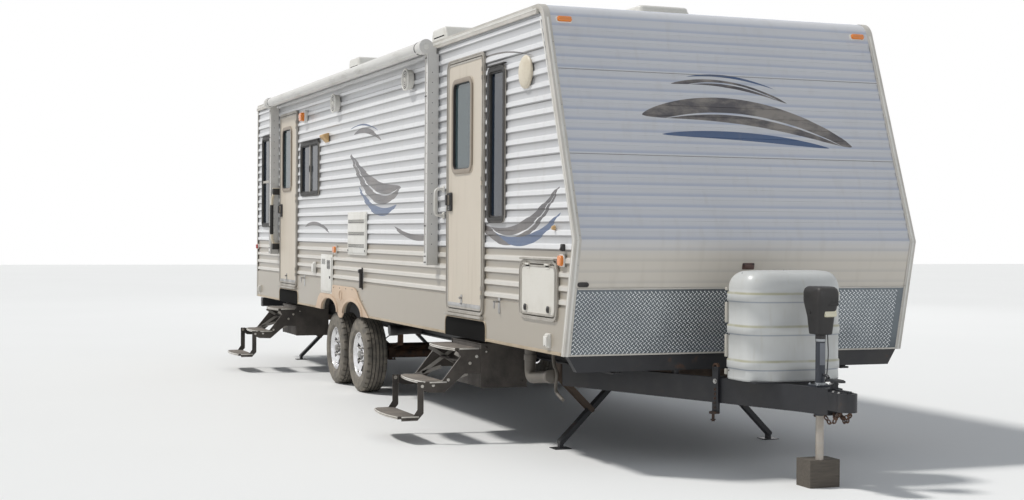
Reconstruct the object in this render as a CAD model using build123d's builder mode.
"""Travel caravan on two axles, parked on its jack, stabilisers and wheels. Millimetres."""

from build123d import *
import math
import os

os.makedirs("parts", exist_ok=True)

# Frame: the origin is the centre of the coupler's ball socket, +X points to the towing
# vehicle, +Y to the road side, -Y to the kerb side with the doors, and +Z up.
hitch_height = 500
ground = -hitch_height
kerb = -1
road = 1
sides = (kerb, road)


def level(height):
    """The Z of a height above the ground."""
    return ground + height


# Body shell
body_width = 2438
half_width = body_width / 2
body_length = 9230
front_setback = 1230
front_x = -front_setback
rear_x = front_x - body_length
skirt_z = level(715)
knee_z = level(1432)
roof_z = level(2935)
knee_x = front_x + 160
front_top_x = knee_x - 550
front_top_radius = 120
rear_top_radius = 45
rib_depth = 9
skin = 6
wall = 40
roof_thickness = 75
floor_z = level(885)
floor_thickness = 75
rim_width = 40
slab_reach = 200
cutter_base_z = skirt_z - slab_reach / 4
wall_y = half_width - rib_depth - skin
inner_y = wall_y - wall
skin_depth = rib_depth + skin
roof_base_z = roof_z - roof_thickness
floor_base_z = floor_z - floor_thickness

# Siding ribs
rib_pitch = 85.7
rib_foot = 44
rib_crest = 24
rib_start_z = level(1022)
bead_pitch = 72
bead_width = 30
bead_depth = 3

# Corner trim and gutter
trim_leg = 40
trim_thickness = 4
gutter_depth = 16
gutter_height = 30
gutter_drop = 60
gutter_front_x = front_top_x - 60

# Chassis
rail_y = half_width - 389
rail_width = 60
rail_height = 220
rail_flange = 12
rail_web = 10
rail_front_x = front_x - 60
rail_rear_x = rear_x + 60
rail_base_z = floor_base_z - rail_height
drawbar_width = 50
drawbar_height = 152
drawbar_rear_x = front_x - 946
drawbar_front_x = -340
drawbar_tip_y = 103
drawbar_slope = (rail_y - drawbar_tip_y) / (drawbar_front_x - drawbar_rear_x)
crossbar_height = 125
crossbar_chamfer = 60
crossbar_end_y = half_width - 29
member_width = 50
member_height = 120
outrigger_height = 90
outrigger_tip = 55
member_setbacks = (620, 3270, 4220)
door_member_offset = 500
axle_member_offset = 1206
rear_member_offset = 260

# Wheels, axles and springs
wheel_radius = 344
tyre_width = 205
bead_radius = 190.5
rim_half_width = 76
wheel_y = half_width - 172
axle_middle_x = front_x - 5464
axle_spacing = 838
axle_places = (axle_middle_x + axle_spacing / 2, axle_middle_x - axle_spacing / 2)
spindle_radius = 18
spindle_fit = 0.3
axle_radius = 38
drum_radius = 127
drum_depth = 60
drum_gap = 6
spoke_count = 6
spring_length = 640
spring_width = 44
spring_thickness = 26
spring_drop = 62
seat_height = 20

# Fender skirt and wheel arches: (centre x, half width at the bottom, top height)
fender_front_x = axle_middle_x + 1071
fender_rear_x = axle_middle_x - 861
fender_top_front_x = axle_middle_x + 639
fender_ledge_x = axle_middle_x - 746
fender_top_z = level(965)
fender_thickness = 14
fender_lip = 34
fender_lip_depth = 12
arch_shift = 122
heater_x = axle_middle_x - 434
heater_width = 446
heater_height = 378
heater_base_z = level(875)
heater_gap = 3
arches = ((axle_places[0] + arch_shift, 325, 860), (axle_places[1] + arch_shift, 300, 860))

# Doors: both are alike, and their free edges are at the rear
door_places = (front_x - 1842, rear_x + 1660)
door_names = ("front", "rear")
door_frame_width = 808
door_frame_base_z = floor_z
door_frame_top_z = level(2745)
door_gap = 8
door_rim = 25
door_liner = 10
door_corner = 70
door_thickness = 38
door_stop = 18
flange_thickness = 10
door_window_width = 400
door_window_base_z = level(1925)
door_window_top_z = level(2570)
door_window_shift = -50
hinge_radius = 7
hinge_leaf = 3
hinge_height = 90
hinge_heights = (1050, 1820, 2590)
hinge_fit = 0.3

# Hatches in the front lower side walls, hinged at their top edges
hatch_x = front_x - 419
hatch_width = 643
hatch_base_z = level(918)
hatch_top_z = level(1300)
hatch_corner = 70
hatch_rim = 22

# Windows in the side walls: (side, centre x, width, base height, top height, divider)
windows = (
    (kerb, front_x - 1204, 300, 1560, 2595, "none"),
    (kerb, door_places[1] + 950, 740, 1855, 2363, "upright"),
    (kerb, rear_x + 510, 390, 1540, 2530, "level"),
    (road, front_x - 1204, 300, 1560, 2595, "none"),
    (road, front_x - 3070, 1200, 1750, 2450, "upright"),
    (road, front_x - 5270, 740, 1855, 2363, "upright"),
    (road, rear_x + 1160, 1000, 1750, 2450, "upright"),
)
rear_window = (1100, 1800, 2400)
window_corner = 35
window_liner = 12
window_flange = 20
window_bar = 26
glass_thickness = 5
glass_inset = 14

# Steps below the doors; a tread is (outer, inner distance from the middle, height)
step_width = 640
step_plate = 6
tread_thickness = 18
tread_bow = 34
nose_depth = 60
nose_fit = 8
well_width = 887
step_pin_radius = 6
step_pin_fit = 0.5
upper_tread = (half_width + 211, half_width + 6, 658)
middle_tread = (half_width + 429, half_width + 244, 428)
lower_tread = (half_width + 629, half_width + 443, 190)
step_pivot_y = half_width + 431
step_pivot_height = 408
box_outer_y = half_width - 9
box_heights = (375, 690)
step_arm_lug = 22

# Jack and the block under it
jack_x = -279
jack_tube_radius = 28.5
ram_radius = 24
ram_fit = 0.3
jack_bore_radius = ram_radius + ram_fit
block_height = 162
block_length = 150
block_width = 200
block_x = jack_x - 45
block_y = 20
jack_tube_base_z = level(420)
jack_tube_top_z = level(894)
jack_head_top_z = level(1174)

# Gas bottle cover on its tray
cover_x = front_x + 572
cover_length = 325
cover_width = 660
cover_height = 660
cover_wall = 6
cover_corner = 60
cover_shoulder = 95
cover_belts = (43, 257, 462)
belt_height = 48
belt_reach = 6
tray_thickness = 8

# Stabilisers: scissor legs under both ends
stabiliser_places = (front_x - 1010, rear_x + 530)
stabiliser_names = ("front", "rear")
pin_y = rail_y - 18
pin_height = 480
brace_length = 308
brace_angle = 45
brace_strap = 6
leg_half_width = 30
leg_depth = 32
leg_wall = 4
strap_gap = 6
stabiliser_pin = 6
stabiliser_fit = 0.4
beam_half_width = 56
beam_wall = 5
beam_base_z = level(455)
beam_top_z = level(530)
beam_overhang = 32
foot_length = 120
foot_width = 110
foot_thickness = 5
foot_lift = 1

# Awning along the kerb side
awning_roll_y = -half_width - 100
awning_roll_z = roof_z - 50
awning_roll_radius = 50
awning_front_x = front_x - 2560
awning_rear_x = rear_x + 1130
arm_width = 75
arm_depth = 80
arm_base_z = level(1222)
arm_top_z = roof_z - 105


def span(side, near, far):
    """The low and high Y of a stretch given by its distances from the middle."""
    return (min(side * near, side * far), max(side * near, side * far))


def block(x, y, z, mode=Mode.ADD):
    """A box in the open part, from its low and high limits along each axis."""
    centre = ((x[0] + x[1]) / 2, (y[0] + y[1]) / 2, (z[0] + z[1]) / 2)
    with Locations(centre):
        Box(abs(x[1] - x[0]), abs(y[1] - y[0]), abs(z[1] - z[0]), mode=mode)


def side_plane(side, x, y, z):
    """A plane that faces outwards from a side wall, with its own Y axis up."""
    return Plane(origin=(x, side * y, z), x_dir=(-side, 0, 0), z_dir=(0, side, 0))


def rear_plane(x, y, z):
    """A plane that faces backwards, with its own Y axis up."""
    return Plane(origin=(x, y, z), x_dir=(0, -1, 0), z_dir=(-1, 0, 0))


def panel(plane, width, height, depth, radius=0, mode=Mode.ADD):
    """A plate standing on a plane in the open part, its corners rounded."""
    with BuildSketch(plane) as face:
        if radius > 0:
            RectangleRounded(width, height, radius)
        else:
            Rectangle(width, height)
    extrude(face.sketch, amount=depth, mode=mode)


def round_bar(plane, radius, length, mode=Mode.ADD):
    """A round bar that stands on a plane in the open part."""
    with BuildSketch(plane) as face:
        Circle(radius)
    extrude(face.sketch, amount=length, mode=mode)


def side_shape(side, x, thickness, points, mode=Mode.ADD):
    """A plate across the body at x, from its corners as (distance from middle, height)."""
    with BuildSketch(Plane.YZ.offset(x)) as face:
        with BuildLine():
            Polyline([(side * y, level(height)) for y, height in points], close=True)
        make_face()
    extrude(face.sketch, amount=thickness, mode=mode)


def body_slab(inset, y, mode=Mode.ADD, base_z=skirt_z):
    """The body's side view above a base, drawn in by an inset, from a low to a high Y."""
    deep_z = skirt_z - slab_reach
    deep_x = front_x - (knee_x - front_x) / (knee_z - skirt_z) * slab_reach
    with BuildSketch(Plane.XZ.offset(-y[1])) as outline:
        with BuildLine():
            Polyline(
                (deep_x, deep_z),
                (knee_x, knee_z),
                (front_top_x, roof_z),
                (rear_x, roof_z),
                (rear_x, deep_z),
                close=True,
            )
        make_face()
        if inset:
            offset(amount=-inset, kind=Kind.INTERSECTION)
        top = outline.vertices().group_by(Axis.Y)[-1].sort_by(Axis.X)
        for corner, radius in ((top[-1], front_top_radius), (top[0], rear_top_radius)):
            if radius > inset:
                fillet(corner, radius - inset)
        with Locations((rear_x, base_z - slab_reach)):
            Rectangle(4 * body_length, 2 * slab_reach, mode=Mode.SUBTRACT)
    extrude(outline.sketch, amount=y[1] - y[0], mode=mode)


def finish(piece, label):
    """Name a finished piece and write it."""
    piece.part.label = label
    export_step(piece.part, f"parts/{label}.step")


def drawbar_y(x):
    """The distance from the middle to a drawbar's outer face at x."""
    return rail_y - drawbar_slope * (x - drawbar_rear_x)


# Openings in the side walls: (side, centre x, centre z, width, height, corner radius)
cut_reach = 5
arch_cut = half_width - inner_y + fender_thickness + fender_lip_depth + 2 * cut_reach
door_height = door_frame_top_z - door_frame_base_z
door_mid_z = (door_frame_top_z + door_frame_base_z) / 2
door_hole_width = door_frame_width - 2 * (door_rim - door_liner)
door_hole_height = door_height - 2 * (door_rim - door_liner)
hatch_height = hatch_top_z - hatch_base_z
hatch_mid_z = (hatch_top_z + hatch_base_z) / 2
hatch_hole = hatch_rim - door_liner
openings = [(kerb, x, door_mid_z, door_hole_width, door_hole_height, door_corner - 15)
            for x in door_places]
openings += [(side, hatch_x, hatch_mid_z, hatch_width - 2 * hatch_hole,
              hatch_height - 2 * hatch_hole, hatch_corner - hatch_hole) for side in sides]
openings += [(side, x, (level(low) + level(high)) / 2, width, high - low, window_corner)
             for side, x, width, low, high, divider in windows]


def cut_openings(side):
    """Cut a side wall's doors, hatches and windows out of the open part."""
    for at, x, z, width, height, radius in openings:
        if at == side:
            panel(side_plane(side, x, inner_y - cut_reach, z), width, height,
                  half_width - inner_y + 2 * cut_reach, radius, Mode.SUBTRACT)


def cut_arches(side):
    """Cut the wheel arches out of the open part."""
    for x, half, top in arches:
        with BuildSketch(side_plane(side, x, inner_y - cut_reach, skirt_z)) as arch:
            Ellipse(half, level(top) - skirt_z)
        extrude(arch.sketch, amount=arch_cut, mode=Mode.SUBTRACT)


# Main rails, each with its drawbar welded below its front end
for side, name in ((kerb, "rail_kerb"), (road, "rail_road")):
    with BuildPart() as rail:
        block((rail_rear_x, rail_front_x), span(side, rail_y - rail_width / 2,
              rail_y + rail_width / 2), (rail_base_z, floor_base_z))
        pocket = (rail_width - rail_web) / 2
        for near in (rail_y - rail_width / 2, rail_y + rail_web / 2):
            block((rail_rear_x, rail_front_x), span(side, near, near + pocket),
                  (rail_base_z + rail_flange, floor_base_z - rail_flange), Mode.SUBTRACT)
        with BuildSketch(Plane.XY.offset(rail_base_z)) as drawbar:
            with BuildLine():
                Polyline(
                    (drawbar_rear_x, side * drawbar_y(drawbar_rear_x)),
                    (drawbar_front_x, side * drawbar_y(drawbar_front_x)),
                    (drawbar_front_x, side * (drawbar_y(drawbar_front_x) - drawbar_width)),
                    (drawbar_rear_x, side * (drawbar_y(drawbar_rear_x) - drawbar_width)),
                    close=True,
                )
            make_face()
        extrude(drawbar.sketch, amount=-drawbar_height)
    finish(rail, name)

# Cross-members between the rails, outriggers outside them and the bar under the front wall
rail_inner_y = rail_y - rail_width / 2
rail_outer_y = rail_y + rail_width / 2
member_places = [front_x - setback for setback in member_setbacks]
member_places += [x + end * door_member_offset for x in door_places for end in (-1, 1)]
member_places += [axle_middle_x - axle_member_offset, rear_x + rear_member_offset]
with BuildPart() as crossmembers:
    for x in member_places:
        along = (x - member_width / 2, x + member_width / 2)
        block(along, (-rail_inner_y, rail_inner_y),
              (floor_base_z - member_height, floor_base_z))
        for side in sides:
            with BuildSketch(Plane.YZ.offset(along[0])) as outrigger:
                with BuildLine():
                    Polyline(
                        (side * rail_outer_y, floor_base_z),
                        (side * inner_y, floor_base_z),
                        (side * inner_y, floor_base_z - outrigger_tip),
                        (side * rail_outer_y, floor_base_z - outrigger_height),
                        close=True,
                    )
                make_face()
            extrude(outrigger.sketch, amount=member_width)
    with BuildSketch(Plane.YZ.offset(rail_front_x)) as crossbar:
        with BuildLine():
            Polyline(
                (-crossbar_end_y, skirt_z),
                (crossbar_end_y, skirt_z),
                (crossbar_end_y - crossbar_chamfer, skirt_z - crossbar_height + 25),
                (-crossbar_end_y + crossbar_chamfer, skirt_z - crossbar_height + 25),
                close=True,
            )
        make_face()
    extrude(crossbar.sketch, amount=front_x - rail_front_x - 6)
    for side in sides:
        outer = drawbar_y(rail_front_x)
        block((rail_front_x, front_x - 6), span(side, outer - drawbar_width, outer - 25),
              (rail_base_z, skirt_z))
finish(crossmembers, "crossmembers")

# Coupler: a tapered weldment on the drawbars' ends, with the ball socket at the origin
socket_radius = 30
nose_radius = 50
coupler_base_z = rail_base_z - drawbar_height
nose_base_z = level(470)
nose_top_z = level(575)
with BuildPart() as coupler:
    with BuildSketch(Plane.XY.offset(coupler_base_z)) as root_plan:
        with BuildLine():
            Polyline(
                (drawbar_front_x, drawbar_y(drawbar_front_x)),
                (-120, nose_radius),
                (-120, -nose_radius),
                (drawbar_front_x, -drawbar_y(drawbar_front_x)),
                close=True,
            )
        make_face()
    extrude(root_plan.sketch, amount=drawbar_height)
    with BuildSketch(Plane.XY.offset(nose_base_z)) as nose_plan:
        with Locations((-60, 0)):
            Rectangle(120, 2 * nose_radius)
        Circle(nose_radius + 8)
    extrude(nose_plan.sketch, amount=nose_top_z - nose_base_z)
    with Locations((0, 0, nose_base_z)):
        Cylinder(socket_radius, -nose_base_z, align=(Align.CENTER, Align.CENTER, Align.MIN),
                 mode=Mode.SUBTRACT)
    Sphere(socket_radius, mode=Mode.SUBTRACT)
    with Locations((jack_x, 0, coupler_base_z)):
        Cylinder(jack_tube_radius + 0.5, drawbar_height,
                 align=(Align.CENTER, Align.CENTER, Align.MIN), mode=Mode.SUBTRACT)
    block((-150, 30), (-12, 12), (nose_top_z, nose_top_z + 14))
    block((-150, -110), (-14, 14), (nose_top_z, nose_top_z + 55))
    block((-190, -40), (-16, 16), (nose_top_z + 55, nose_top_z + 68))
finish(coupler, "coupler")

# Axles: a tube with spring seats, brake plates and spindles
drum_inner_y = wheel_y - 72
plate_y = drum_inner_y - drum_gap
with BuildPart() as axles:
    for x in axle_places:
        centre_z = level(wheel_radius)
        tube_plane = Plane(origin=(x, -plate_y + 12, centre_z), x_dir=(1, 0, 0), z_dir=(0, 1, 0))
        round_bar(tube_plane, axle_radius, 2 * plate_y - 24)
        for side in sides:
            out = Plane(origin=(x, side * (plate_y - 12), centre_z), x_dir=(1, 0, 0),
                        z_dir=(0, side, 0))
            round_bar(out, drum_radius + 5, 12)
            round_bar(out, spindle_radius, wheel_y + 10 - plate_y + 12)
            block((x - 45, x + 45), span(side, rail_y - spring_width / 2,
                  rail_y + spring_width / 2), (centre_z, centre_z + axle_radius + seat_height))
finish(axles, "axles")

# Leaf springs with their eyes, hangers and the equaliser between the axles
spring_base_z = level(wheel_radius) + axle_radius + seat_height
eye_z = spring_base_z + spring_drop
eye_radius = 20
with BuildPart() as leaf_springs:
    for side in sides:
        start = Plane(origin=(0, side * rail_y - spring_width / 2, 0), x_dir=(1, 0, 0),
                      z_dir=(0, 1, 0))
        for x in axle_places:
            for end in (-1, 1):
                with BuildSketch(Plane.XZ.offset(-(side * rail_y + spring_width / 2))) as leaf:
                    with BuildLine():
                        Polyline(
                            (x, spring_base_z),
                            (x + end * 60, spring_base_z),
                            (x + end * spring_length / 2, eye_z - spring_thickness / 2),
                            (x + end * spring_length / 2, eye_z + spring_thickness / 2),
                            (x + end * 60, spring_base_z + spring_thickness),
                            (x, spring_base_z + spring_thickness),
                            close=True,
                        )
                    make_face()
                extrude(leaf.sketch, amount=spring_width)
                eye = Plane(origin=(x + end * spring_length / 2, side * rail_y
                            + spring_width / 2, eye_z), x_dir=(1, 0, 0), z_dir=(0, -1, 0))
                round_bar(eye, eye_radius, spring_width)
                block((x + end * spring_length / 2 - 18, x + end * spring_length / 2 + 18),
                      span(side, rail_y - spring_width / 2, rail_y + spring_width / 2),
                      (eye_z, rail_base_z))
        middle = sum(axle_places) / 2
        block((middle - 110, middle + 110), span(side, rail_y - spring_width / 2,
              rail_y + spring_width / 2), (eye_z - 10, eye_z + 40))
finish(leaf_springs, "leaf_springs")

# Wheels: rim, spoked disc, hub and brake drum turn together, with the tyre on them
hub_radius = 42
disc_inner_z = 8
drum_base_z = drum_inner_y - wheel_y
rim_inner_radius = 176
flange_radius = 203
rim_flange = 7
low = (Align.CENTER, Align.CENTER, Align.MIN)
with BuildPart() as wheel:
    with BuildSketch(Plane.XZ) as rim_section:
        with BuildLine():
            Polyline(
                (rim_inner_radius, -rim_half_width - rim_flange),
                (flange_radius, -rim_half_width - rim_flange),
                (flange_radius, -rim_half_width),
                (bead_radius, -rim_half_width),
                (bead_radius, rim_half_width),
                (flange_radius, rim_half_width),
                (flange_radius, rim_half_width + rim_flange),
                (rim_inner_radius, rim_half_width + rim_flange),
                close=True,
            )
        make_face()
    revolve(rim_section.sketch, axis=Axis.Z)
    with BuildSketch(Plane.XZ) as disc_section:
        with BuildLine():
            Polyline(
                (0, disc_inner_z),
                (2 * hub_radius, disc_inner_z),
                (rim_inner_radius, disc_inner_z + 40),
                (rim_inner_radius, disc_inner_z + 58),
                (2 * hub_radius, disc_inner_z + 22),
                (hub_radius, disc_inner_z + 22),
                (hub_radius - 6, disc_inner_z + 48),
                (0, disc_inner_z + 52),
                close=True,
            )
        make_face()
    revolve(disc_section.sketch, axis=Axis.Z)
    with BuildSketch(Plane.XY) as spoke_gaps:
        with PolarLocations(128, spoke_count):
            Trapezoid(68, 60, 75, rotation=90)
        fillet(spoke_gaps.vertices(), 12)
    extrude(spoke_gaps.sketch, amount=100, mode=Mode.SUBTRACT)
    with Locations((0, 0, drum_base_z)):
        Cylinder(drum_radius, drum_depth, align=low)
        Cylinder(hub_radius, disc_inner_z - drum_base_z, align=low)
        Cylinder(spindle_radius + spindle_fit, 16 - drum_base_z, align=low, mode=Mode.SUBTRACT)

with BuildPart() as tyre:
    tyre_half = tyre_width / 2
    with BuildSketch(Plane.XZ) as tyre_section:
        with BuildLine():
            Polyline((wheel_radius, 0), (wheel_radius - 2, tyre_half - 34))
            ThreePointArc((wheel_radius - 2, tyre_half - 34), (wheel_radius - 8, tyre_half - 17),
                          (wheel_radius - 26, tyre_half - 9))
            ThreePointArc((wheel_radius - 26, tyre_half - 9), (wheel_radius - 82, tyre_half),
                          (flange_radius + 1, rim_half_width))
            Polyline((flange_radius + 1, rim_half_width), (bead_radius, rim_half_width),
                     (bead_radius, 0))
            mirror(about=Plane.XZ)
        make_face()
    revolve(tyre_section.sketch, axis=Axis.Z)

for side, side_name in ((kerb, "kerb"), (road, "road")):
    for x, place in zip(axle_places, ("front", "rear")):
        turn = Plane(origin=(x, side * wheel_y, level(wheel_radius)), x_dir=(1, 0, 0),
                     z_dir=(0, side, 0))
        for piece, kind in ((wheel, "wheel"), (tyre, "tyre")):
            with BuildPart() as placed:
                with Locations(turn.location):
                    add(piece.part)
            finish(placed, f"{kind}_{side_name}_{place}")

# Floor slab with a rim below its edge, open at the step wells and above the wheels
with BuildPart() as floor:
    body_slab(skin_depth, (-wall_y, wall_y))
    block((rear_x, 0), (-half_width, half_width), (floor_z, roof_z + 1), Mode.SUBTRACT)
    block((rear_x + skin_depth + rim_width, rail_front_x), (-inner_y, inner_y),
          (skirt_z, floor_base_z), Mode.SUBTRACT)
    for x in door_places:
        block((x - well_width / 2, x + well_width / 2), span(kerb, inner_y, wall_y),
              (skirt_z, floor_base_z), Mode.SUBTRACT)
    for side in sides:
        cut_arches(side)
finish(floor, "floor")

# Side walls
for side, name in ((kerb, "wall_kerb"), (road, "wall_road")):
    with BuildPart() as side_wall:
        block((rear_x, 0), span(side, inner_y, wall_y), (floor_z, roof_base_z))
        body_slab(skin_depth, (-half_width, half_width), Mode.INTERSECT)
        cut_openings(side)
    finish(side_wall, name)

# Front wall, which leans with the nose, and rear wall
with BuildPart() as wall_front:
    body_slab(skin_depth, (-inner_y, inner_y))
    body_slab(skin_depth + wall, (-inner_y, inner_y), Mode.SUBTRACT)
    block((front_top_x - front_top_radius, 0), (-inner_y, inner_y), (floor_z, roof_base_z),
          Mode.INTERSECT)
finish(wall_front, "wall_front")

rear_window_width, rear_window_low, rear_window_high = rear_window
rear_window_mid_z = level((rear_window_low + rear_window_high) / 2)
rear_window_height = rear_window_high - rear_window_low
with BuildPart() as wall_rear:
    block((rear_x + skin_depth, rear_x + skin_depth + wall), (-inner_y, inner_y),
          (floor_z, roof_base_z))
    panel(rear_plane(rear_x + skin_depth + wall + 5, 0, rear_window_mid_z), rear_window_width,
          rear_window_height, wall + 30, window_corner, Mode.SUBTRACT)
finish(wall_rear, "wall_rear")

# Roof between the side skins, up to where the front skin rolls over
front_split_x = front_top_x - front_top_radius - 10
with BuildPart() as roof:
    body_slab(0, (-wall_y, wall_y))
    block((front_split_x, 0), (-half_width, half_width), (ground, roof_z + 1), Mode.SUBTRACT)
    body_slab(skin_depth, (-wall_y, wall_y))
    block((rear_x, 0), (-wall_y, wall_y), (roof_base_z, roof_z + 1), Mode.INTERSECT)
finish(roof, "roof")

# Ribbed side skins
def rib_points():
    """The side skin's section, as (distance from the middle, height), ribs outwards."""
    flat_y = half_width - rib_depth
    slope = (rib_foot - rib_crest) / 2
    points = [(wall_y, skirt_z), (half_width, skirt_z), (half_width, rib_start_z - 12),
              (flat_y, rib_start_z - 6)]
    count = int((roof_z - rib_start_z) / rib_pitch)
    for number in range(count):
        foot = rib_start_z + number * rib_pitch
        points += [(flat_y, foot), (half_width, foot + slope),
                   (half_width, foot + slope + rib_crest), (flat_y, foot + rib_foot)]
    points += [(flat_y, roof_z), (wall_y, roof_z)]
    return points


with BuildPart() as siding_sides:
    for side in sides:
        with BuildSketch(Plane.YZ.offset(rear_x)) as rib_section:
            with BuildLine():
                Polyline([(side * y, z) for y, z in rib_points()], close=True)
            make_face()
        extrude(rib_section.sketch, amount=body_length + (knee_x - front_x))
    body_slab(0, (-half_width, half_width), Mode.INTERSECT)
    for side in sides:
        cut_openings(side)
        cut_arches(side)
finish(siding_sides, "siding_sides")

# Skins on the front and rear walls; the front one has shallow beads along its slope
slope_x = front_top_x - knee_x
slope_z = roof_z - knee_z
slope_length = math.hypot(slope_x, slope_z)
slope_normal = (slope_z / slope_length, 0, -slope_x / slope_length)
with BuildPart() as siding_ends:
    body_slab(0, (-wall_y, wall_y))
    body_slab(skin_depth, (-wall_y, wall_y), Mode.SUBTRACT, cutter_base_z)
    block((front_split_x, 0), (-wall_y, wall_y), (skirt_z, roof_z + 1), Mode.INTERSECT)
    for number in range(int((slope_length - front_top_radius) / bead_pitch)):
        along = (number + 0.5) * bead_pitch / slope_length
        groove = Plane(origin=(knee_x + slope_x * along, 0, knee_z + slope_z * along),
                       x_dir=(0, 1, 0), z_dir=slope_normal)
        with BuildSketch(groove.offset(-bead_depth)) as valley:
            Rectangle(2 * wall_y, bead_pitch - bead_width)
        extrude(valley.sketch, amount=2 * bead_depth, mode=Mode.SUBTRACT)
    with BuildSketch(Plane.XZ) as rear_section:
        with BuildLine():
            Polyline([(rear_x + half_width - y, min(z, roof_base_z)) for y, z in rib_points()
                      if z < roof_base_z - rib_pitch] + [(rear_x + rib_depth, roof_base_z),
                     (rear_x + skin_depth, roof_base_z)], close=True)
        make_face()
    extrude(rear_section.sketch, amount=wall_y, both=True)
    panel(rear_plane(rear_x + skin_depth + 5, 0, rear_window_mid_z), rear_window_width,
          rear_window_height, skin_depth + 10, window_corner, Mode.SUBTRACT)
finish(siding_ends, "siding_ends")

# Patterned plate on the lower front, between the corner trims
plate_base_z = level(720)
plate_top_z = level(1137)
plate_thickness = 3
plate_half = half_width - trim_leg
with BuildPart() as diamond_plate:
    body_slab(-plate_thickness, (-plate_half, plate_half))
    body_slab(0, (-plate_half, plate_half), Mode.SUBTRACT, cutter_base_z)
    block((rail_front_x, 0), (-plate_half, plate_half), (plate_base_z, plate_top_z),
          Mode.INTERSECT)
finish(diamond_plate, "diamond_plate")

# Corner trim that runs up the nose, along the roof and down the rear, with the gutters
gutter_base_z = roof_z - gutter_drop
with BuildPart() as trim:
    for side in sides:
        body_slab(-trim_thickness, span(side, half_width - trim_leg, half_width + trim_thickness))
    for side in sides:
        body_slab(0, span(side, half_width - trim_leg - 1, half_width), Mode.SUBTRACT,
                  cutter_base_z)
        body_slab(trim_leg, span(side, half_width - 1, half_width + trim_thickness + 1),
                  Mode.SUBTRACT, cutter_base_z)
        gutter_rear_x = rear_x + trim_leg / 2
        block((gutter_rear_x, gutter_front_x),
              span(side, half_width, half_width + trim_thickness + gutter_depth),
              (gutter_base_z, gutter_base_z + gutter_height))
finish(trim, "trim")

# Fender skirts around both wheels on each side
with BuildPart() as fender_skirts:
    for side in sides:
        with BuildSketch(Plane.XZ.offset(-span(side, half_width,
                                               half_width + fender_thickness)[1])) as skirt:
            with BuildLine():
                Polyline(
                    (fender_rear_x, skirt_z),
                    (fender_ledge_x, heater_base_z - heater_gap - 40),
                    (heater_x - heater_width / 2, heater_base_z - heater_gap),
                    (heater_x + heater_width / 2 + heater_gap, heater_base_z - heater_gap),
                    (heater_x + heater_width / 2 + 30, fender_top_z),
                    (fender_top_front_x, fender_top_z),
                    (fender_front_x, skirt_z),
                    close=True,
                )
            make_face()
            fillet(skirt.vertices().group_by(Axis.Y)[-1].sort_by(Axis.X)[-1], 160)
        extrude(skirt.sketch, amount=fender_thickness)
        lip_y = half_width + fender_thickness
        for x, half, top in arches:
            rise = level(top) - skirt_z + fender_lip
            with BuildSketch(side_plane(side, x, lip_y, skirt_z)) as lip:
                Ellipse(half + fender_lip, rise)
                with Locations((0, -rise / 2)):
                    Rectangle(4 * half, rise, mode=Mode.SUBTRACT)
            extrude(lip.sketch, amount=fender_lip_depth)
        block((heater_x - heater_width / 2 - heater_gap, heater_x + heater_width / 2 + heater_gap),
              span(side, lip_y, lip_y + fender_lip_depth),
              (heater_base_z - heater_gap, heater_base_z + heater_height), Mode.SUBTRACT)
        cut_arches(side)
finish(fender_skirts, "fender_skirts")

# Frames of the doors and hatches: a rim on the skin, a liner through the wall and a stop
door_opening_width = door_frame_width - 2 * door_rim
door_opening_height = door_height - 2 * door_rim
hatch_opening_width = hatch_width - 2 * hatch_rim
hatch_opening_height = hatch_height - 2 * hatch_rim
slab_width = door_opening_width - 2 * door_gap
slab_height = door_opening_height - 2 * door_gap
hatch_slab_width = hatch_opening_width - 2 * door_gap
hatch_slab_height = hatch_opening_height - 2 * door_gap
door_face_y = half_width + flange_thickness
hinge_y = door_face_y + hinge_radius - 1
stop_y = inner_y + door_stop


def frame_ring(side, x, z, width, height, rim, corner):
    """A door's or hatch's frame in its opening."""
    inner_corner = corner - rim
    hole = (width - 2 * rim, height - 2 * rim)
    seat = 2 * (rim - door_liner)
    panel(side_plane(side, x, half_width, z), width, height, flange_thickness, corner)
    panel(side_plane(side, x, inner_y, z), width - seat, height - seat, half_width - inner_y,
          corner - seat / 2)
    panel(side_plane(side, x, stop_y, z), hole[0], hole[1],
          half_width - stop_y + flange_thickness + 1, inner_corner, Mode.SUBTRACT)
    panel(side_plane(side, x, inner_y - 1, z), hole[0] - 30, hole[1] - 30, door_stop + 2,
          inner_corner / 2, Mode.SUBTRACT)


def hinge_knuckles(side, x, heights, outward):
    """A door's upright hinge knuckles: the frame's outer pairs or the door's middle ones."""
    third = hinge_height / 3
    for height in heights:
        bases = [height] if outward else [height - third, height + third]
        for base in bases:
            fit = hinge_fit if outward else 0
            size = third - 2 * fit
            with Locations((x, side * hinge_y, level(base))):
                Cylinder(hinge_radius, size)
            reach = -hinge_leaf_length if outward else hinge_leaf_length
            block((min(x, x + reach), max(x, x + reach)),
                  span(side, door_face_y, door_face_y + hinge_leaf),
                  (level(base) - size / 2, level(base) + size / 2))


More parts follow.
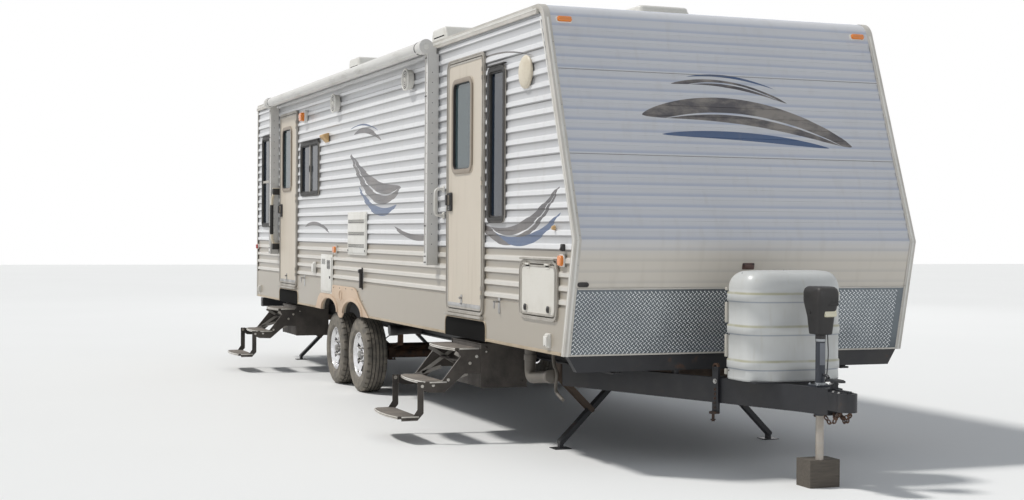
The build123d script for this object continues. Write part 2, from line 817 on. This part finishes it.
hinge_leaf_length = 28
hatch_hinge_z = hatch_mid_z + hatch_slab_height / 2 + door_gap / 2
with BuildPart() as door_frames:
    for x in door_places:
        frame_ring(kerb, x, door_mid_z, door_frame_width, door_height, door_rim, door_corner)
        hinge_knuckles(kerb, x + slab_width / 2 + door_gap / 2, hinge_heights, False)
    for side in sides:
        frame_ring(side, hatch_x, hatch_mid_z, hatch_width, hatch_height, hatch_rim,
                   hatch_corner)
        for end in (-1, 1):
            pin = Plane(origin=(hatch_x + end * hatch_slab_width / 3, side * hinge_y,
                                hatch_hinge_z), x_dir=(0, 1, 0), z_dir=(end, 0, 0))
            round_bar(pin, hinge_radius, 30)
            block((hatch_x + end * hatch_slab_width / 3,
                   hatch_x + end * (hatch_slab_width / 3 + 30)),
                  span(side, door_face_y, door_face_y + hinge_leaf),
                  (hatch_hinge_z, hatch_hinge_z + 16))
finish(door_frames, "door_frames")

# Doors: the slab with its window cut and rimmed, its lock and its hinge leaves
door_window_height = door_window_top_z - door_window_base_z
door_window_mid_z = (door_window_top_z + door_window_base_z) / 2
door_slab_base_y = door_face_y - door_thickness
lock_x = -slab_width / 2 + 62
lock_z = level(1700)
for x, name in zip(door_places, door_names):
    window_x = x + door_window_shift
    with BuildPart() as door:
        panel(side_plane(kerb, x, door_slab_base_y, door_mid_z), slab_width, slab_height,
              door_thickness, door_corner - door_rim)
        panel(side_plane(kerb, window_x, door_face_y, door_window_mid_z),
              door_window_width + 2 * window_flange, door_window_height + 2 * window_flange, 5,
              window_corner)
        panel(side_plane(kerb, window_x, door_slab_base_y - 1, door_window_mid_z),
              door_window_width, door_window_height, door_thickness + 8, window_corner - 15,
              Mode.SUBTRACT)
        panel(side_plane(kerb, x + lock_x, door_face_y, lock_z), 75, 130, 14, 12)
        panel(side_plane(kerb, x + lock_x, door_face_y + 14, lock_z + 12), 22, 70, 26, 8)
        hinge_knuckles(kerb, x + slab_width / 2 + door_gap / 2, hinge_heights, True)
    finish(door, f"door_{name}")
    with BuildPart() as door_glass:
        panel(side_plane(kerb, window_x, door_face_y - glass_inset, door_window_mid_z),
              door_window_width, door_window_height, glass_thickness, window_corner - 15)
    finish(door_glass, f"door_glass_{name}")

# Hatches: a plain slab with two latches and its hinge leaves
for side, name in ((kerb, "hatch_kerb"), (road, "hatch_road")):
    with BuildPart() as hatch:
        panel(side_plane(side, hatch_x, door_slab_base_y, hatch_mid_z), hatch_slab_width,
              hatch_slab_height, door_thickness, hatch_corner - hatch_rim)
        for end in (-1, 1):
            at_x = hatch_x + end * hatch_slab_width / 3
            panel(side_plane(side, at_x, door_face_y, hatch_mid_z - hatch_slab_height / 2 + 45),
                  42, 42, 9, 8)
            pin = Plane(origin=(at_x - end * hinge_fit, side * hinge_y, hatch_hinge_z),
                        x_dir=(0, 1, 0), z_dir=(-end, 0, 0))
            round_bar(pin, hinge_radius, 60)
            block((at_x - end * hinge_fit, at_x - end * 60),
                  span(side, door_face_y, door_face_y + hinge_leaf),
                  (hatch_hinge_z - hinge_leaf_length, hatch_hinge_z))
    finish(hatch, name)

# Windows: frames through the walls with their dividers, and the panes in them
hole_trim = 2 * window_liner
glass_y = half_width - glass_inset


def window_frame(plane_at, width, height, divider):
    """A window frame from a function that gives its plane at a distance from the middle."""
    panel(plane_at(inner_y), width, height, half_width - inner_y, window_corner)
    panel(plane_at(half_width), width + 2 * window_flange, height + 2 * window_flange,
          flange_thickness, window_corner + window_flange)
    panel(plane_at(inner_y - 1), width - hole_trim, height - hole_trim,
          half_width - inner_y + flange_thickness + 2, window_corner - window_liner,
          Mode.SUBTRACT)
    if divider == "upright":
        panel(plane_at(glass_y + glass_thickness), window_bar, height - hole_trim,
              glass_inset - glass_thickness + flange_thickness / 2)
    if divider == "level":
        panel(plane_at(glass_y + glass_thickness), width - hole_trim, window_bar,
              glass_inset - glass_thickness + flange_thickness / 2)


def side_window_plane(side, x, z):
    """How a side window's plane depends on its distance from the middle."""
    return lambda y: side_plane(side, x, y, z)


def rear_window_plane(y):
    """The rear window's plane, as deep from the rear skin as y is from a side skin."""
    return rear_plane(rear_x + half_width - y, 0, rear_window_mid_z)


window_places = [(side_window_plane(side, x, (level(low) + level(high)) / 2), width,
                  high - low, divider) for side, x, width, low, high, divider in windows]
window_places += [(rear_window_plane, rear_window_width, rear_window_height, "upright")]
with BuildPart() as window_frames:
    for plane_at, width, height, divider in window_places:
        window_frame(plane_at, width, height, divider)
finish(window_frames, "window_frames")

with BuildPart() as window_glass:
    for plane_at, width, height, divider in window_places:
        panel(plane_at(glass_y), width - hole_trim, height - hole_trim, glass_thickness,
              window_corner - window_liner)
finish(window_glass, "window_glass")

# Awning: the roll in its case between two flat arms on the kerb wall
with BuildPart() as awning_arms:
    for x, inward in ((awning_front_x, 1), (awning_rear_x, -1)):
        along = (min(x, x + inward * arm_width), max(x, x + inward * arm_width))
        block(along, span(kerb, half_width, half_width + arm_depth), (arm_base_z, arm_top_z))
        head = Plane(origin=(x, awning_roll_y, awning_roll_z), x_dir=(0, 1, 0),
                     z_dir=(inward, 0, 0))
        round_bar(head, awning_roll_radius + 6, arm_width)
        block(along, span(kerb, half_width + trim_thickness + gutter_depth, -awning_roll_y),
              (arm_top_z, awning_roll_z))
finish(awning_arms, "awning_arms")

with BuildPart() as awning_roll:
    start = Plane(origin=(awning_rear_x, awning_roll_y, awning_roll_z), x_dir=(0, 1, 0),
                  z_dir=(1, 0, 0))
    round_bar(start, awning_roll_radius, awning_front_x - awning_rear_x)
    block((awning_rear_x, awning_front_x),
          span(kerb, half_width + trim_thickness + gutter_depth, -awning_roll_y),
          (awning_roll_z - 8, awning_roll_z + 4))
finish(awning_roll, "awning_roll")

# Roof: air conditioner and vents (x, y, length, width, height, top share)
air_conditioner_place = (front_x - 4770, 0, 1050, 720, 340)
vent_y = half_width - 519
roof_vents_table = (
    (front_x - 1300, 0, 480, 480, 150),
    (front_x - 3495, -vent_y, 460, 380, 240),
    (rear_x + 3039, -vent_y, 460, 380, 270),
    (rear_x + 1160, 0, 400, 400, 130),
    (rear_x + 2160, half_width - 599, 120, 120, 160),
)
with BuildPart() as roof_units:
    x, y, length, width, height = air_conditioner_place
    with BuildSketch(Plane.XY.offset(roof_z)) as base:
        with Locations((x, y)):
            RectangleRounded(length, width, 90)
    extrude(base.sketch, amount=height, taper=12)
    for x, y, length, width, height in roof_vents_table:
        with BuildSketch(Plane.XY.offset(roof_z)) as base:
            with Locations((x, y)):
                RectangleRounded(length, width, width / 8)
        extrude(base.sketch, amount=height, taper=10)
finish(roof_units, "roof_units")

# Gas bottle cover, a hollow shell, on a tray over the drawbars
tray_z = rail_base_z
tray_overhang = 25
with BuildPart() as lp_cover:
    cover_base_z = tray_z + tray_thickness
    with BuildSketch(Plane.XY.offset(cover_base_z)) as plan:
        with Locations((cover_x, 0)):
            RectangleRounded(cover_length, cover_width, cover_corner)
    extrude(plan.sketch, amount=cover_height)
    fillet(lp_cover.edges().group_by(Axis.Z)[-1], cover_shoulder)
    offset(amount=-cover_wall, openings=lp_cover.faces().sort_by(Axis.Z)[0])
    for belt in cover_belts:
        with BuildSketch(Plane.XY.offset(cover_base_z + belt)) as band:
            with Locations((cover_x, 0)):
                RectangleRounded(cover_length + 2 * belt_reach, cover_width + 2 * belt_reach,
                                 cover_corner + belt_reach)
                RectangleRounded(cover_length - cover_wall, cover_width - cover_wall,
                                 cover_corner - cover_wall / 2, mode=Mode.SUBTRACT)
        extrude(band.sketch, amount=belt_height)
finish(lp_cover, "lp_cover")

# Jack: fixed tube and motor head, and the ram that slides in the tube
jack_flange_z = rail_base_z
with BuildPart() as jack_body:
    with Locations((jack_x, 0, jack_tube_base_z)):
        Cylinder(jack_tube_radius, jack_tube_top_z - jack_tube_base_z, align=low)
    block((jack_x - 55, jack_x + 55), (-55, 55), (jack_flange_z, jack_flange_z + 10))
    with Locations((jack_x, 0, jack_tube_base_z)):
        Cylinder(jack_bore_radius, jack_tube_top_z - jack_tube_base_z - 10, align=low,
                 mode=Mode.SUBTRACT)
finish(jack_body, "jack_body")

head_height = jack_head_top_z - jack_tube_top_z
with BuildPart() as jack_head:
    with BuildSketch(Plane.XY.offset(jack_tube_top_z)) as neck:
        with Locations((jack_x, 0)):
            RectangleRounded(105, 85, 20)
    with BuildSketch(Plane.XY.offset(jack_tube_top_z + 0.68 * head_height)) as brow:
        with Locations((jack_x, 0)):
            RectangleRounded(190, 145, 35)
    loft(sections=[neck.sketch.faces()[0], brow.sketch.faces()[0]])
    with BuildSketch(Plane.XY.offset(jack_tube_top_z + 0.68 * head_height)) as crown:
        with Locations((jack_x, 0)):
            RectangleRounded(190, 145, 35)
    extrude(crown.sketch, amount=0.32 * head_height)
    fillet(jack_head.edges().group_by(Axis.Z)[-1], 30)
finish(jack_head, "jack_head")

with BuildPart() as jack_ram:
    with Locations((jack_x, 0, level(block_height))):
        Cylinder(ram_radius, jack_tube_base_z + 100 - level(block_height), align=low)
finish(jack_ram, "jack_ram")

with BuildPart() as cribbing_block:
    block((block_x - block_length / 2, block_x + block_length / 2),
          (block_y - block_width / 2, block_y + block_width / 2),
          (ground, level(block_height)))
finish(cribbing_block, "cribbing_block")

# On the drawbars: the gas bottles' tray and the spring bar brackets that hook over them
bracket_x = cover_x - 257
bracket_plate = 10
bracket_width = 46
with BuildPart() as drawbar_fittings:
    block((cover_x - cover_length / 2 - tray_overhang, cover_x + cover_length / 2),
          (-cover_width / 2 + tray_overhang, cover_width / 2 - tray_overhang),
          (tray_z, tray_z + tray_thickness))
    for side in sides:
        lean = math.atan(drawbar_slope)
        hook = Plane(origin=(bracket_x, side * drawbar_y(bracket_x), rail_base_z),
                     x_dir=(math.cos(lean), -side * math.sin(lean), 0), z_dir=(0, 0, 1))
        with BuildSketch(hook) as outer:
            with Locations((0, side * bracket_plate)):
                Rectangle(bracket_width, 2 * bracket_plate)
        extrude(outer.sketch, amount=-drawbar_height - 62)
        extrude(outer.sketch, amount=70)
        with BuildSketch(hook) as over:
            with Locations((0, -side * drawbar_width / 2)):
                Rectangle(bracket_width, drawbar_width)
        extrude(over.sketch, amount=bracket_plate)
finish(drawbar_fittings, "drawbar_fittings")

# Steps: a box under the floor with two fixed treads on arms, and a lower section that folds
half_step = step_width / 2
arm_outer = half_step - step_plate
arm_inner = arm_outer - step_plate
leg_outer = arm_inner - step_pin_fit
leg_inner = leg_outer - step_plate
nose_half = leg_inner - nose_fit
lug = step_arm_lug
upper_out, upper_in, upper_height = upper_tread
middle_out, middle_in, middle_height = middle_tread
lower_out, lower_in, lower_height = lower_tread
arm_shape = (
    (upper_in - 75, upper_height - tread_thickness),
    (upper_in, upper_height),
    (upper_out - nose_depth, upper_height),
    (upper_out - nose_depth, upper_height - 40),
    (upper_out - nose_depth - 12, upper_height - 54),
    (middle_in + 37, middle_height),
    (middle_out - 48, middle_height),
    (step_pivot_y + lug, step_pivot_height + 12),
    (step_pivot_y + lug, step_pivot_height - 16),
    (middle_out - 48, middle_height - 72),
    (middle_in + 17, middle_height - 76),
    (middle_in - 133, middle_height + 52),
    (upper_in - 75, middle_height + 52),
)
box_shape = (
    (rail_outer_y, box_heights[1]),
    (box_outer_y, box_heights[1]),
    (box_outer_y, box_heights[0]),
    (rail_outer_y, box_heights[0]),
)
leg_shape = (
    (step_pivot_y - lug, step_pivot_height + lug),
    (step_pivot_y + lug, step_pivot_height + lug),
    (step_pivot_y + lug, lower_height + 46),
    (lower_in + 38, lower_height + 14),
    (lower_out - nose_depth, lower_height + 14),
    (lower_out - nose_depth, lower_height - 26),
    (lower_in + 10, lower_height - 26),
    (step_pivot_y - lug, lower_height + lug),
)


def tread_board(x, tread, half):
    """A tread with a bowed front edge, narrower over its nose's depth."""
    outer, inner, height = tread
    with BuildSketch(Plane.XY.offset(level(height) - tread_thickness)) as plan:
        with BuildLine():
            ThreePointArc((x - nose_half, tread_bow - outer), (x, -outer),
                          (x + nose_half, tread_bow - outer))
            Polyline((x + nose_half, tread_bow - outer), (x + nose_half, nose_depth - outer),
                     (x + half, nose_depth - outer), (x + half, -inner), (x - half, -inner),
                     (x - half, nose_depth - outer), (x - nose_half, nose_depth - outer),
                     (x - nose_half, tread_bow - outer))
        make_face()
    extrude(plan.sketch, amount=tread_thickness)


for x, name in zip(door_places, door_names):
    with BuildPart() as step_frame:
        for end in (-1, 1):
            side_shape(kerb, min(x + end * half_step, x + end * arm_outer), step_plate,
                       box_shape)
            side_shape(kerb, min(x + end * arm_outer, x + end * arm_inner), step_plate,
                       arm_shape)
            pivot = Plane(origin=(x + end * arm_inner, -step_pivot_y, level(step_pivot_height)),
                          x_dir=(0, 1, 0), z_dir=(-end, 0, 0))
            round_bar(pivot, step_pin_radius, step_plate + step_pin_fit + 2)
        block((x - arm_outer, x + arm_outer), span(kerb, rail_outer_y, box_outer_y),
              (level(box_heights[1]) - step_plate, level(box_heights[1])))
        for tread in (upper_tread, middle_tread):
            tread_board(x, tread, arm_inner)
    finish(step_frame, f"step_frame_{name}")
    with BuildPart() as step_lower:
        for end in (-1, 1):
            side_shape(kerb, min(x + end * leg_outer, x + end * leg_inner), step_plate,
                       leg_shape)
            pivot = Plane(origin=(x + end * (arm_inner + 1), -step_pivot_y,
                                  level(step_pivot_height)),
                          x_dir=(0, 1, 0), z_dir=(-end, 0, 0))
            round_bar(pivot, step_pin_radius + step_pin_fit, 3 * step_plate, Mode.SUBTRACT)
        tread_board(x, lower_tread, leg_inner)
    finish(step_lower, f"step_lower_{name}")

# Stabilisers: a channel across the rails, and on each side a brace and a leg
pin_z = level(pin_height)
cos_a = math.cos(math.radians(brace_angle))
sin_a = math.sin(math.radians(brace_angle))
mid_y = pin_y - brace_length * cos_a
mid_z = pin_z - brace_length * sin_a
inner_end_y = pin_y - 2 * brace_length * cos_a
foot_z = pin_z - 2 * brace_length * sin_a
strap_inner = leg_half_width + strap_gap
strap_outer = strap_inner + brace_strap
with BuildPart() as stabiliser_beams:
    for x in stabiliser_places:
        block((x - beam_half_width, x + beam_half_width),
              (-pin_y - beam_overhang, pin_y + beam_overhang), (beam_base_z, beam_top_z))
        block((x - beam_half_width + beam_wall, x + beam_half_width - beam_wall),
              (-pin_y - beam_overhang, pin_y + beam_overhang),
              (beam_base_z, beam_top_z - beam_wall), Mode.SUBTRACT)
        for side in sides:
            block((x - beam_half_width, x + beam_half_width),
                  span(side, rail_y - rail_width / 2, rail_y + rail_width / 2 - 20),
                  (beam_top_z, rail_base_z))
            for end in (-1, 1):
                pin = Plane(origin=(x + end * (beam_half_width - beam_wall), side * pin_y,
                                    pin_z), x_dir=(0, 1, 0), z_dir=(-end, 0, 0))
                round_bar(pin, stabiliser_pin, beam_half_width - beam_wall - strap_inner)
finish(stabiliser_beams, "stabiliser_beams")


def link(x, start, end, width, along, mode=Mode.ADD):
    """A bar with round ends between two (Y, Z) points, over a stretch along X."""
    middle = ((start[0] + end[0]) / 2, (start[1] + end[1]) / 2)
    length = math.hypot(end[0] - start[0], end[1] - start[1])
    angle = math.degrees(math.atan2(end[1] - start[1], end[0] - start[0]))
    with BuildSketch(Plane.YZ.offset(x + along[0])) as bar:
        with Locations(middle):
            SlotCenterToCenter(length, width, rotation=angle)
    extrude(bar.sketch, amount=along[1] - along[0], mode=mode)


for x, place in zip(stabiliser_places, stabiliser_names):
    for side, side_name in ((kerb, "kerb"), (road, "road")):
        outer_pin = (side * pin_y, pin_z)
        middle_pin = (side * mid_y, mid_z)
        inner_end = (side * inner_end_y, pin_z)
        foot_pin = (side * pin_y, foot_z)
        with BuildPart() as brace:
            for along in ((-strap_outer, -strap_inner), (strap_inner, strap_outer)):
                link(x, outer_pin, middle_pin, 34, along)
            for end in (-1, 1):
                hole = Plane(origin=(x + end * (strap_outer + 1), outer_pin[0], outer_pin[1]),
                             x_dir=(0, 1, 0), z_dir=(-end, 0, 0))
                round_bar(hole, stabiliser_pin + stabiliser_fit, brace_strap + 2,
                          Mode.SUBTRACT)
            cross = Plane(origin=(x - strap_inner, middle_pin[0], middle_pin[1]),
                          x_dir=(0, 1, 0), z_dir=(1, 0, 0))
            round_bar(cross, stabiliser_pin, 2 * strap_inner)
        finish(brace, f"brace_{place}_{side_name}")
        with BuildPart() as leg:
            link(x, inner_end, foot_pin, leg_depth, (-leg_half_width, leg_half_width))
            link(x, inner_end, foot_pin, leg_depth - 2 * leg_wall,
                 (leg_wall - leg_half_width, leg_half_width - leg_wall), Mode.SUBTRACT)
            block((x - 20, x + 20), (foot_pin[0] - 14, foot_pin[0] + 14),
                  (level(foot_lift), foot_pin[1]))
            block((x - foot_width / 2, x + foot_width / 2),
                  (foot_pin[0] - foot_length / 2, foot_pin[0] + foot_length / 2),
                  (level(foot_lift), level(foot_lift) + foot_thickness))
            through = Plane(origin=(x - leg_half_width - 1, middle_pin[0], middle_pin[1]),
                            x_dir=(0, 1, 0), z_dir=(1, 0, 0))
            round_bar(through, stabiliser_pin + stabiliser_fit, 2 * leg_half_width + 2,
                      Mode.SUBTRACT)
        finish(leg, f"leg_{place}_{side_name}")

# Fittings on the side walls: (side, x, height, width, height, depth, corner radius)
wall_fittings_table = (
    (kerb, axle_middle_x + 674, 1458, 640, 388, 12, 20),
    (kerb, heater_x, heater_base_z + heater_height / 2 - ground, heater_width,
     heater_height, 12, 15),
    (kerb, heater_x - 495, 1113, 100, 115, 30, 8),
    (kerb, axle_middle_x + 844, 1056, 36, 196, 40, 4),
    (kerb, awning_front_x - 2943, 2686, 180, 180, 60, 89),
    (kerb, awning_front_x - 624, 2698, 180, 180, 60, 89),
    (kerb, front_x - 652, 2521, 220, 220, 35, 109),
    (kerb, door_places[0] + 706, 977, 40, 60, 45, 6),
    (kerb, door_places[1] + 740, 970, 40, 60, 45, 6),
    (kerb, front_x - 247, 799, 70, 90, 25, 6),
    (road, front_x - 3970, 1458, 640, 388, 12, 20),
    (road, rear_x + 2560, 1100, 400, 380, 12, 20),
    (road, rear_x + 1760, 1150, 160, 160, 20, 20),
)
with BuildPart() as wall_fittings:
    for side, x, height, width, tall, depth, radius in wall_fittings_table:
        panel(side_plane(side, x, half_width, level(height)), width, tall, depth, radius)
finish(wall_fittings, "wall_fittings")

# Lamps: (plane, width, height, depth)
front_marker_y = half_width - 129
front_marker_z = roof_z - 106
front_marker_x = knee_x + slope_x * (front_marker_z - knee_z) / slope_z
lamp_places = [(side_plane(side, x, half_width, level(height)), width, tall, depth)
               for side, x, height, width, tall, depth in (
                   (kerb, door_places[1] + 757, 2651, 130, 120, 70),
                   (kerb, heater_x - 27, 2383, 150, 90, 60),
                   (kerb, axle_middle_x - 106, 1303, 95, 40, 25),
                   (kerb, front_x - 25, 1304, 60, 60, 30),
                   (kerb, rear_x + 65, 1295, 44, 60, 30),
                   (road, axle_middle_x - 106, 1303, 95, 40, 25),
                   (road, front_x - 25, 1304, 60, 60, 30),
                   (road, rear_x + 65, 1295, 44, 60, 30),
               )]
lamp_places += [(Plane(origin=(front_marker_x, side * front_marker_y, front_marker_z),
                       x_dir=(0, 1, 0), z_dir=slope_normal), 110, 42, 26) for side in sides]
lamp_places += [(rear_plane(rear_x, side * y, z), width, tall, depth)
                for side in sides
                for y, z, width, tall, depth in (
                    (half_width - 179, level(1150), 130, 300, 30),
                    (half_width - 159, roof_z - 145, 110, 42, 26),
                )]
with BuildPart() as lamps:
    for plane, width, tall, depth in lamp_places:
        panel(plane, width, tall, depth, 8)
finish(lamps, "lamps")

# Rear bumper, a square tube on brackets behind the rails
bumper_size = 100
bumper_reach = 60
bumper_half = half_width - 90
bumper_top_z = rail_base_z + 100
with BuildPart() as bumper:
    block((rear_x - bumper_reach - bumper_size, rear_x - bumper_reach),
          (-bumper_half, bumper_half), (bumper_top_z - bumper_size, bumper_top_z))
    for side in sides:
        block((rear_x - bumper_reach, rail_rear_x),
              span(side, rail_y - rail_width / 2, rail_y + rail_width / 2),
              (bumper_top_z - bumper_size, bumper_top_z))
finish(bumper, "bumper")

# Grab handles: a white bow beside the front door, a folding rail beside the rear door
bow_x = door_places[0] - 496
bow_heights = (1600, 1800)
rail_handle_x = door_places[1] - 445
rail_handle_heights = (1250, 2050)
with BuildPart() as grab_handles:
    for x, (bottom, top), stand in ((bow_x, bow_heights, 60),
                                    (rail_handle_x, rail_handle_heights, 75)):
        for height in (bottom, top):
            block((x - 14, x + 14), span(kerb, half_width, half_width + stand),
                  (level(height) - 14, level(height) + 14))
        block((x - 14, x + 14), span(kerb, half_width + stand, half_width + stand + 24),
              (level(bottom) - 14, level(top) + 14))
finish(grab_handles, "grab_handles")
